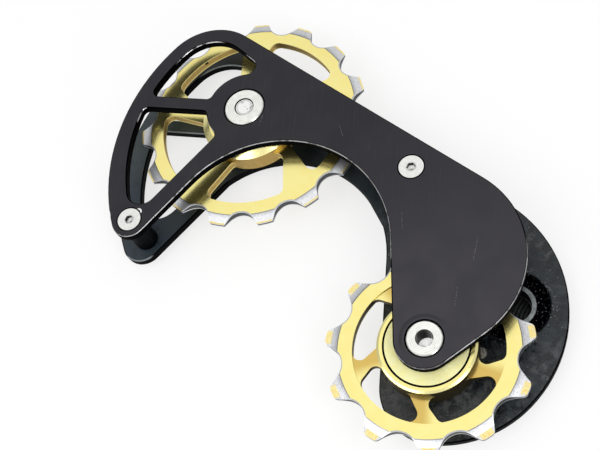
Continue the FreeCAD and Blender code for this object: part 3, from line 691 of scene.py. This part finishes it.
def bare_faces(s):
    """The silver of the teeth, with painted shade next to the rim."""
    uneven = s.math("ADD", s.out, s.times(s.cloud, RIM_UNEVEN))
    # Painted shade on the flanks next to the rim
    shade_by_rim = s.fall(uneven, *[s.wheel.face_end + reach for reach in RIM_SHADE_REACH])
    silver = s.mix(s.rise(s.speckle, 0.50, 0.66), BARE, BARE_SPECKLE)
    return s.lay(silver, BARE_SHADE_BY_RIM, shade_by_rim, 0.75)


def tooth_tips(s, from_tooth):
    """Where gold is left on the flat tips of the teeth."""
    start, patch = s.wheel.taper_end, s.wheel.tip_patch
    left = s.rise(s.noise(1.6, shift=9.0), 0.25, 0.42)
    on_tip = s.rise(s.out, start - TIP_LAP, start + CUT)
    on_patch = s.fall(from_tooth, patch, patch + PATCH_SOFT)
    return s.both(on_tip, on_patch, left, s.invert(s.upright))


def window_walls(s, colour, window_shade):
    """Walls in the windows in painted shade with specks of grime, a painted highlight along their upper
    and lower edges, a chip, and painted shade in the gap round the cap by the bore.
    """
    hub, window = s.wheel.hub, s.wheel.window
    bore = CAP_RADIUS + CAP_GAP
    walls = s.both(s.upright, s.fall(s.out, window + 0.1, window + 0.3))
    by_face = s.band(s.height, RIM_HALF, WINDOW_LIT_HALF, WINDOW_LIT_SOFT)
    lit = s.both(by_face, s.rise(s.out, hub + 0.3, hub + 0.6))
    wall_colour = s.lay(window_shade, WINDOW_GRIME, s.rise(s.speckle, 0.5, 0.62), 0.6)
    chip_height = s.band(s.z, WALL_CHIP.z, WALL_CHIP_HALF, WALL_CHIP_SOFT)
    chip = s.both(walls, s.spot(WALL_CHIP, WALL_CHIP_SIZE), chip_height)
    # The walls are painted in shade, with painted highlight along their edges
    colour = s.lay(colour, s.lay(wall_colour, GOLD, lit, 0.7), walls)
    # A chip, and painted shade in the gap round the cap
    return s.lay(colour, SHADE_AND_GRIME_BLACK, s.either(chip, s.fall(s.out, bore + 0.02, bore + 0.06)))


def wheel_finish(wheel, name, spoke_shade, window_shade):
    """Gold anodising with bare teeth: silver flanks and gullets, and traces of gold on the tips."""
    s = WheelShader(name, wheel)
    root, edge = wheel.root, wheel.face_end
    fine = s.noise(14.0, detail=2.0)
    from_gullet, from_tooth = s.tooth_places()
    round_gullet = s.fall(from_gullet, *[wheel.gullet + width for width in GULLET_BARE])
    gullet_edge = s.both(round_gullet, s.rise(s.out, root - GULLET_REACH, root))
    bare = s.either(s.rise(s.out, edge - 0.03, edge + CUT), gullet_edge)
    seam = s.both(s.band(s.out, edge + SEAM_OUT, SEAM_HALF, SEAM_SOFT), s.invert(gullet_edge))
    gullet_wall = s.both(s.upright, s.rise(s.out, root - 0.4, root - 0.1))
    # Gullet walls are painted in shade, with a painted highlight where they meet the teeth's flank
    gullet_shade_and_light = s.mix(s.fall(s.below_flank(), *GULLET_LIT), GULLET_SHADE, GULLET_LIT_EDGE)
    tip_colour = s.mix(s.rise(s.speckle, 0.4, 0.6), TIP_GOLD, PALE_GOLD)
    colour = s.mix(bare, gold_faces(s, spoke_shade), bare_faces(s))
    colour = s.lay(colour, SEAM_GREY, seam, 0.75)
    colour = s.lay(colour, tip_colour, tooth_tips(s, from_tooth))
    colour = s.lay(colour, gullet_shade_and_light, gullet_wall)
    s.set(Base_Color=window_walls(s, colour, window_shade), Metallic=1.0)
    rough = s.blend(bare, s.blend(fine, 0.18, 0.26), s.blend(s.speckle, 0.26, 0.46))
    s.set(Roughness=s.blend(s.upright, rough, 0.5))
    s.bump(s.total((fine, 0.35), (s.speckle, 0.65)), 0.012, 0.3)
    return s.material


CAP_LIGHT = (1.0, 0.98, 0.53)
CAP_DEEP = (1.0, 0.95, 0.43)
CAP_RINGS = 0.5


def cap_finish(name, centre):
    """A turned gold disc: fine rings, broad sheen that runs across them, and painted shade at its outer
    edge.
    """
    s = Shader(name)
    radius = s.radius(centre)
    rings = s.waves(radius, CAP_RINGS)
    edge_shade = s.rise(radius, CAP_RADIUS - 0.06, CAP_RADIUS - 0.02)
    colour = s.mix(s.rise(s.noise(0.8, detail=3.0), 0.35, 0.65), CAP_LIGHT, CAP_DEEP)
    # Painted shade at the cap's outer edge, in the gap beside it
    s.set(Base_Color=s.lay(colour, SHADE_AND_GRIME_BLACK, edge_shade), Metallic=0.25)
    s.set(Roughness=s.blend(rings, 0.30, 0.36), Anisotropic=1.0, Tangent=s.outward(centre))
    return s.material


@dataclass
class Turned:
    """The colours and sizes of a turned piece's finish."""

    light: tuple
    dark: tuple
    rough: float
    ring_pitch: float
    bore: float
    # The lighter stripes of the painted shade on the bore's thread
    thread: tuple


NUT = Turned(
    light=(0.98, 0.98, 0.94), dark=(0.92, 0.93, 0.87), rough=0.24, ring_pitch=0.45,
    bore=2.6, thread=(0.07, 0.07, 0.066))
BUSH = Turned(
    light=(0.40, 0.43, 0.43), dark=(0.26, 0.29, 0.29), rough=0.34, ring_pitch=0.3,
    bore=4.2, thread=(0.006, 0.007, 0.007))
THREAD_PITCH = 0.8
THREAD_SHADE = (0.01, 0.01, 0.01)
TOOL_MARK = 0.62
DIRT_GREY = (0.12, 0.12, 0.11)


def turned_finish(name, centre, turned):
    """Turned bright metal with fine rings and a few specks of dirt, and painted shade on the threaded wall
    of its bore.
    """
    s = Shader(name)
    radius = s.radius(centre)
    rings = s.waves(radius, turned.ring_pitch)
    cloud = s.noise(0.9, detail=4.0)
    mark_colour = tuple(TOOL_MARK * part for part in turned.dark)
    inside = s.both(s.fall(radius, turned.bore + 0.1, turned.bore + 0.2), s.wall())
    thread = s.rise(s.waves(s.z, THREAD_PITCH), -0.2, 0.6)
    colour = s.mix(s.rise(s.noise(1.0, detail=2.0), 0.35, 0.7), turned.light, turned.dark)
    colour = s.lay(colour, mark_colour, s.rise(rings, 0.0, 0.9), s.rise(cloud, 0.40, 0.60), s.level, 0.45)
    colour = s.lay(colour, DIRT_GREY, s.specks(1.3, 0.25, 0.12), s.rise(cloud, 0.45, 0.6), 0.7)
    # The threaded wall of the bore is painted in shade
    colour = s.lay(colour, s.mix(thread, THREAD_SHADE, turned.thread), inside)
    s.set(Base_Color=colour, Metallic=1.0, Roughness=s.blend(cloud, turned.rough, turned.rough + 0.12))
    s.set(Anisotropic=0.6, Tangent=s.outward(centre))
    s.bump(rings, 0.006, 0.3)
    return s.material


SPECKLE_DARK = (0.05, 0.05, 0.05)


def metal_finish(name, light, dark, rough, speckled=0.0):
    """Plain metal with cloudy tone and, where asked, dark speckles."""
    s = Shader(name)
    cloud = s.noise(1.2, detail=4.0)
    fine = s.noise(10.0, detail=2.0)
    colour = s.mix(s.rise(cloud, 0.35, 0.65), light, dark)
    if speckled:
        speckles = s.rise(s.noise(3.2, detail=3.0, shift=3.0), 0.5, 0.6)
        colour = s.lay(colour, SPECKLE_DARK, speckles, speckled)
    s.set(Base_Color=colour, Metallic=1.0, Roughness=s.blend(fine, rough, rough + 0.15))
    s.bump(fine, 0.01, 0.3)
    return s.material


# Screws and bolts
SCREW_LIGHT = (0.93, 0.93, 0.90)
SCREW_DARK = (0.84, 0.84, 0.81)
SCREW_GRIT = (0.35, 0.35, 0.33)
SOCKET_GRIT = (0.25, 0.25, 0.24)
SOCKET_SIDE_SHADE = (0.012, 0.012, 0.012)
SOCKET_REACH = 1.2
BOLT_LIGHT = (0.98, 0.98, 0.96)
BOLT_STAIN = (0.16, 0.16, 0.16)
BOLT_RING = 1.95
BOLT_RING_HALF = 0.06
BOLT_RING_SOFT = 0.10
# Depths below the inner face between which the marks on the tension bolt's end begin
BOLT_END = (0.5, 0.3)
STAIN_SIDE = (-0.4, 0.5)
GUIDE_BOLT_EDGE = (3.0, 3.2)
# Sockets and the guide bolt's end are shaded as shallow dishes of this slope
DISH_SLOPE = 0.2


def socket_finish(name, centres):
    """Bright screw heads whose sockets have painted shade on their sides and are bright at the bottom."""
    s = Shader(name)
    fine = s.noise(9.0, detail=3.0)
    cloud = s.noise(1.0, detail=3.0)
    away = s.fold("MINIMUM", [s.radius(centre) for centre in centres])
    side = s.wall()
    socket = s.fall(away, SOCKET_REACH, SOCKET_REACH + 0.05)
    colour = s.mix(s.rise(cloud, 0.35, 0.65), SCREW_LIGHT, SCREW_DARK)
    colour = s.lay(colour, SCREW_GRIT, s.rise(fine, 0.56, 0.66), 0.3)
    colour = s.lay(colour, SOCKET_GRIT, socket, s.invert(side), s.rise(fine, 0.5, 0.6))
    # Painted shade on the socket's sides
    colour = s.lay(colour, SOCKET_SIDE_SHADE, socket, side)
    s.set(Base_Color=colour, Metallic=1.0, Roughness=s.blend(fine, 0.24, 0.36))
    dish = s.both(socket, away)
    s.bump(s.total((fine, 0.0024), (dish, DISH_SLOPE)), 1.0)
    return s.material


def bolt_finish():
    """Bolt steel: the tension bolt's end has a turned ring and stains, and the guide bolt's is dished."""
    s = Shader("bolt_steel")
    fine = s.noise(10.0, detail=2.0)
    from_guide = s.radius(GUIDE)
    end = s.rise(s.z, *[INNER_FACE - depth for depth in BOLT_END])
    ring = s.both(s.band(s.radius(TENSION), BOLT_RING, BOLT_RING_HALF, BOLT_RING_SOFT), 0.5)
    stained = s.rise(s.noise(1.4, detail=4.0, shift=2.0), 0.50, 0.60)
    stain = s.both(stained, s.rise(s.y, *[TENSION.y + side for side in STAIN_SIDE]), 0.6)
    colour = s.mix(s.both(end, s.either(ring, stain)), BOLT_LIGHT, BOLT_STAIN)
    s.set(Base_Color=colour, Metallic=1.0, Roughness=s.blend(fine, 0.20, 0.32))
    dish = s.both(s.fall(from_guide, *GUIDE_BOLT_EDGE), from_guide)
    s.bump(s.total((fine, 0.0015), (dish, DISH_SLOPE)), 1.0)
    return s.material


BORE_SHADE_BLACK = (0.002, 0.003, 0.003)
BORE_SHADE_STREAK = (0.035, 0.042, 0.042)
STREAK_MIDDLE = Vector((9.0, 6.0))
STREAK_PITCH = 0.9


def bore_shade_finish():
    """Near-black painted shade with faint curved streaks."""
    s = Shader("pivot_bore_shade")
    streak = s.waves(s.radius(STREAK_MIDDLE), STREAK_PITCH)
    patchy = s.noise(0.8, detail=3.0)
    light = s.both(s.rise(streak, 0.2, 0.9), s.rise(patchy, 0.4, 0.6))
    s.set(Base_Color=s.mix(light, BORE_SHADE_BLACK, BORE_SHADE_STREAK), Roughness=s.blend(patchy, 0.35, 0.5))
    s.bump(streak, 0.05, 0.4)
    return s.material


def moulded_finish(name, light, dark, rough):
    """Moulded plastic or rubber with a fine grain."""
    s = Shader(name)
    grain = s.noise(8.0, detail=3.0)
    s.set(Base_Color=s.mix(s.rise(grain, 0.35, 0.65), light, dark))
    s.set(Roughness=s.blend(grain, rough, rough + 0.15))
    s.bump(grain, 0.015, 0.4)
    return s.material


# The outer plate's throat and the end of its lower window, in the plan
PLATE_CHAMFER = 0.3
STAND_PROUD = 0.005
THROAT_MIDDLE = Vector((-46.4, -36.5))
THROAT_REACH = 26.1
THROAT_LAP = 0.4
HIP_MIDDLE = Vector((-52.86, -31.74))
HIP_INSIDE = 20.9
WIDE_MIDDLE = Vector((-46.82, -40.21))
WIDE_INSIDE = 31.3
WINDOW_END = Vector((-81.45, -53.4))
WINDOW_END_RADIUS = 7.05
OLD_END = Vector((-76.82, -56.41))
OLD_END_INSIDE = 4.55
ARM_TOP_EDGE = Vector((-76.9, -35.3))
ARM_TOP_INSIDE = Vector((-76.3, -35.3))
WELD = 1e-7
FLAT_LEVEL = 0.99
SHARP_TURN = 25.0


def arc(centre, radius, start, end, steps=32):
    """Points along an arc in the plan, from one direction to another in degrees."""
    points = []
    for step in range(steps + 1):
        turn = math.radians(start + (end - start) * step / steps)
        points.append(centre + Vector((math.cos(turn), math.sin(turn))) * radius)
    return points


def plate_strip(name, edge, inside):
    """A strip of the outer plate between a chamfered edge in the open and a line inside the plate."""
    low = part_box("outer_plate")[0].z - STAND_PROUD * MM
    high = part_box("outer_plate")[1].z + STAND_PROUD * MM
    mesh = bmesh.new()
    rings = []
    for level in (low, high):
        rings.append([mesh.verts.new((point.x * MM, point.y * MM, level)) for point in edge + inside])
    bottom, top = rings
    count = len(top)
    mesh.faces.new(top)
    mesh.faces.new(bottom[::-1])
    for here in range(count):
        after = (here + 1) % count
        mesh.faces.new((bottom[here], bottom[after], top[after], top[here]))
    open_edges = []
    for ring in rings:
        for first, second in zip(ring[:len(edge)], ring[1:len(edge)]):
            open_edges.append(mesh.edges.get((first, second)))
    bmesh.ops.bevel(
        mesh, geom=open_edges, offset=PLATE_CHAMFER * MM, segments=1, profile=0.5, affect="EDGES")
    strip = bpy.data.objects.new(name, bpy.data.meshes.new(name))
    mesh.to_mesh(strip.data)
    mesh.free()
    bpy.context.scene.collection.objects.link(strip)
    return strip


def throat_strip():
    """The strip that makes the throat fuller."""
    edge = arc(THROAT_MIDDLE, THROAT_REACH, 185, 85)
    edge += arc(WIDE_MIDDLE, WIDE_INSIDE - THROAT_LAP, 68, 67, 1)
    inside = arc(WIDE_MIDDLE, WIDE_INSIDE, 66, 125) + arc(HIP_MIDDLE, HIP_INSIDE, 126, 187)
    return plate_strip("throat_strip", edge, inside)


def arm_strip():
    """The strip that makes the arm wider at the end of the lower window."""
    edge = [ARM_TOP_EDGE] + arc(WINDOW_END, WINDOW_END_RADIUS, 12, -80)
    inside = arc(OLD_END, OLD_END_INSIDE, -125, 12) + [ARM_TOP_INSIDE]
    return plate_strip("arm_strip", edge, inside)


def welded_copy(node, name):
    """A new object with a node's shape, whose faces share their points and keep no stored normals."""
    welded = bmesh.new()
    welded.from_mesh(frame["nodes"][node].data)
    bmesh.ops.remove_doubles(welded, verts=welded.verts, dist=WELD)
    copy = bpy.data.objects.new(name, bpy.data.meshes.new(name))
    welded.to_mesh(copy.data)
    welded.free()
    stored = copy.data.attributes.get("custom_normal")
    if stored:
        copy.data.attributes.remove(stored)
    bpy.context.scene.collection.objects.link(copy)
    return copy


def join(plate, strips):
    """Joins strips to a plate, and removes them."""
    for strip in strips:
        union = plate.modifiers.new(strip.name, "BOOLEAN")
        union.operation = "UNION"
        union.solver = "MANIFOLD"
        union.object = strip
    joined = plate.evaluated_get(bpy.context.evaluated_depsgraph_get())
    shape = bpy.data.meshes.new_from_object(joined)
    plate.modifiers.clear()
    plate.data = shape
    for strip in strips:
        bpy.data.objects.remove(strip)


def outer_plate_shown(material):
    """The outer plate with a fuller throat and a wider arm, joined to the CAD plate's own shape."""
    plate = welded_copy("outer_plate", "outer_plate_shown")
    join(plate, [throat_strip(), arm_strip()])
    plate.data.materials.clear()
    plate.data.materials.append(material)
    for face in plate.data.polygons:
        face.use_smooth = abs(face.normal.z) < FLAT_LEVEL
    plate.data.set_sharp_from_angle(angle=math.radians(SHARP_TURN))
    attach(plate, "cage")
    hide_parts("outer_plate")


BORE_SHADE_RADIUS = 4.17
BORE_SHADE_DEPTH = 0.2
BORE_SHADE_SIDES = 96


def bore_shade_disc():
    """A dark disc across the outer end of the pivot's bore: painted shade that stands for the bore's dark
    depth.
    """
    bpy.ops.mesh.primitive_cylinder_add(
        vertices=BORE_SHADE_SIDES, radius=BORE_SHADE_RADIUS * MM, depth=BORE_SHADE_DEPTH * MM,
        location=(0, 0, FLOOR_LEVEL + BORE_SHADE_DEPTH * MM))
    film = bpy.context.object
    film.name = "pivot_bore_shade_disc"
    film.data.materials.append(bore_shade_finish())
    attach(film, "cage")


def dress(material, *nodes):
    """Gives a finish to CAD nodes."""
    for node in nodes:
        for place in frame["nodes"][node].material_slots:
            place.material = material


def dress_cage():
    """Finishes for the plates and what holds them together."""
    dress(inner_plate_finish(), "inner_plate")
    black = outer_plate_finish()
    dress(black, "outer_plate")
    outer_plate_shown(black)
    standoff = metal_finish("black_standoff", (0.0012, 0.0018, 0.0022), (0.003, 0.004, 0.005), 0.60)
    dress(standoff, "tip_standoff", "mid_standoff")
    screw = socket_finish("bright_screw", (TIP_SCREW, MID_SCREW))
    dress(screw, "inner_plate_screws", "outer_plate_screws")
    dress(turned_finish("bush_steel", PIVOT, BUSH), "pivot_bush")
    dress(metal_finish("pin_steel", (0.62, 0.60, 0.53), (0.46, 0.44, 0.40), 0.42, 0.75), "stop_pin")


def dress_wheels():
    """Finishes for the pulleys and what is on their axes."""
    dress(wheel_finish(TENSION_WHEEL, "tension_gold", GOLD, TENSION_WINDOW_SHADE), "tension_pulley")
    dress(wheel_finish(GUIDE_WHEEL, "guide_gold", SPOKE_SHADE_GOLD, GUIDE_WINDOW_SHADE), "guide_pulley")
    bolt = bolt_finish()
    race = metal_finish("bearing_steel", (0.62, 0.62, 0.62), (0.55, 0.55, 0.55), 0.22)
    ball = metal_finish("bearing_balls", (0.78, 0.78, 0.78), (0.72, 0.72, 0.72), 0.08)
    nylon = moulded_finish("retainer_nylon", (0.75, 0.70, 0.58), (0.68, 0.62, 0.50), 0.45)
    rubber = moulded_finish("seal_rubber", (0.03, 0.03, 0.03), (0.05, 0.05, 0.05), 0.60)
    for name, centre in (("tension", TENSION), ("guide", GUIDE)):
        dress(turned_finish(name + "_nut", centre, NUT), name + "_sleeve_nut")
        dress(cap_finish(name + "_cap_gold", centre), name + "_inner_dust_cap", name + "_outer_dust_cap")
        dress(bolt, name + "_bolt")
        dress(race, name + "_bearing_outer_race", name + "_bearing_inner_race")
        dress(ball, name + "_bearing_balls")
        dress(nylon, name + "_bearing_retainer")
        dress(rubber, name + "_bearing_seals")


# The stage, with lengths in metres
FLOOR_SIZE = 6.0
FLOOR_WHITE = (0.97, 0.97, 0.97, 1.0)
FLOOR_LIFT = 0.7
SKY_LOW = 0.45
SKY_GAIN = 0.85
SKY_EDGE = 0.3
SKY_BRIGHT_WAY = Vector((-0.12, 0.02, 0.99)).normalized()
BACKDROP_TOP = 0.22
BACKDROP_FADE = 0.06
SUBJECT = Vector((-0.045, -0.025, 0.008))
LAMP_DISTANCE = 0.8
# Lamps: the direction from the object, the side and the radiance
LAMPS = {
    "key": ((0.15, -0.57, 0.80), 0.42, 2.3),
    "low": ((-0.20, -0.77, 0.60), 0.26, 1.9),
    "side": ((0.58, 0.20, 0.79), 0.25, 3.5),
    "edge": ((0.87, 0.06, 0.48), 0.26, 5.0),
}


def looking_rays(tree):
    """1 for the rays that show the background: from the camera, or by way of metal or glass."""
    rays = tree.nodes.new("ShaderNodeLightPath")
    largest = rays.outputs["Is Camera Ray"]
    for name in ("Is Glossy Ray", "Is Transmission Ray"):
        either = tree.nodes.new("ShaderNodeMath")
        either.operation = "MAXIMUM"
        tree.links.new(largest, either.inputs[0])
        tree.links.new(rays.outputs[name], either.inputs[1])
        largest = either.outputs[0]
    return largest


def product(tree, first, second):
    """The product of two values in a tree, the second a socket or a number."""
    made = tree.nodes.new("ShaderNodeMath")
    made.operation = "MULTIPLY"
    tree.links.new(first, made.inputs[0])
    if isinstance(second, bpy.types.NodeSocket):
        tree.links.new(second, made.inputs[1])
    else:
        made.inputs[1].default_value = second
    return made.outputs[0]


def ramp(tree, value, start, end, low, high):
    """Goes evenly from low to high in a tree while the value goes from start to end."""
    made = tree.nodes.new("ShaderNodeMapRange")
    tree.links.new(value, made.inputs[0])
    for socket, number in zip(made.inputs[1:], (start, end, low, high)):
        socket.default_value = number
    return made.outputs[0]


def floor():
    """A white floor that takes the object's soft shadow."""
    bpy.ops.mesh.primitive_plane_add(size=FLOOR_SIZE, location=(0, 0, FLOOR_LEVEL))
    plane = bpy.context.object
    plane.name = "floor"
    material = bpy.data.materials.new("floor_white")
    material.use_nodes = True
    tree = material.node_tree
    tree.nodes.clear()
    diffuse = tree.nodes.new("ShaderNodeBsdfDiffuse")
    diffuse.inputs["Color"].default_value = FLOOR_WHITE
    glow = tree.nodes.new("ShaderNodeEmission")
    mixed = tree.nodes.new("ShaderNodeMixShader")
    output = tree.nodes.new("ShaderNodeOutputMaterial")
    tree.links.new(product(tree, looking_rays(tree), FLOOR_LIFT), mixed.inputs[0])
    tree.links.new(diffuse.outputs[0], mixed.inputs[1])
    tree.links.new(glow.outputs[0], mixed.inputs[2])
    tree.links.new(mixed.outputs[0], output.inputs["Surface"])
    plane.data.materials.append(material)


def world():
    """A soft dome, brightest overhead, with a white backdrop near the horizon."""
    sky = bpy.data.worlds.new("dome")
    bpy.context.scene.world = sky
    sky.use_nodes = True
    tree = sky.node_tree
    tree.nodes.clear()
    way = tree.nodes.new("ShaderNodeTexCoord").outputs["Generated"]
    towards = tree.nodes.new("ShaderNodeVectorMath")
    towards.operation = "DOT_PRODUCT"
    towards.inputs[1].default_value = SKY_BRIGHT_WAY
    tree.links.new(way, towards.inputs[0])
    level = ramp(tree, towards.outputs["Value"], SKY_EDGE, 1.0, SKY_LOW, SKY_LOW + SKY_GAIN)
    parts = tree.nodes.new("ShaderNodeSeparateXYZ")
    tree.links.new(way, parts.inputs[0])
    backdrop = ramp(tree, parts.outputs["Z"], BACKDROP_TOP, BACKDROP_TOP + BACKDROP_FADE, 1.0, 0.0)
    strength = tree.nodes.new("ShaderNodeMix")
    strength.inputs[3].default_value = 1.0
    shine = tree.nodes.new("ShaderNodeBackground")
    output = tree.nodes.new("ShaderNodeOutputWorld")
    tree.links.new(product(tree, backdrop, looking_rays(tree)), strength.inputs[0])
    tree.links.new(level, strength.inputs[2])
    tree.links.new(strength.outputs[0], shine.inputs["Strength"])
    tree.links.new(shine.outputs[0], output.inputs["Surface"])


def softbox(name, way, size, radiance):
    """A square lamp that faces the object from a direction, as bright as its radiance says."""
    lamp = bpy.data.lights.new(name, "AREA")
    lamp.size = size
    # A square lamp of power P and side s has a radiance of P / (pi * s * s)
    lamp.energy = radiance * math.pi * size * size
    holder = bpy.data.objects.new(name, lamp)
    holder.location = SUBJECT + Vector(way).normalized() * LAMP_DISTANCE
    holder.rotation_euler = (SUBJECT - holder.location).to_track_quat("-Z", "Y").to_euler()
    bpy.context.scene.collection.objects.link(holder)


def lights():
    for name, (way, size, radiance) in LAMPS.items():
        softbox(name, way, size, radiance)


CAMERA_PLACE = Vector((73.1, -43.0, 224.5))
CAMERA_TURN = (25.91, 13.64, 57.14)
CAMERA_LENS = 60.675
CAMERA_SENSOR = 36.0
CAMERA_NEAR = 10.0


def camera():
    """The camera at the photo's viewing angle."""
    data = bpy.data.cameras.new("camera")
    data.sensor_width = CAMERA_SENSOR
    data.lens = CAMERA_LENS
    data.clip_start = CAMERA_NEAR * MM
    holder = bpy.data.objects.new("camera", data)
    holder.location = CAMERA_PLACE * MM
    holder.rotation_euler = Euler([math.radians(turn) for turn in CAMERA_TURN])
    bpy.context.scene.collection.objects.link(holder)
    bpy.context.scene.camera = holder


bpy.context.scene.view_settings.view_transform = "Standard"
dress_cage()
dress_wheels()
bore_shade_disc()
floor()
world()
lights()
camera()
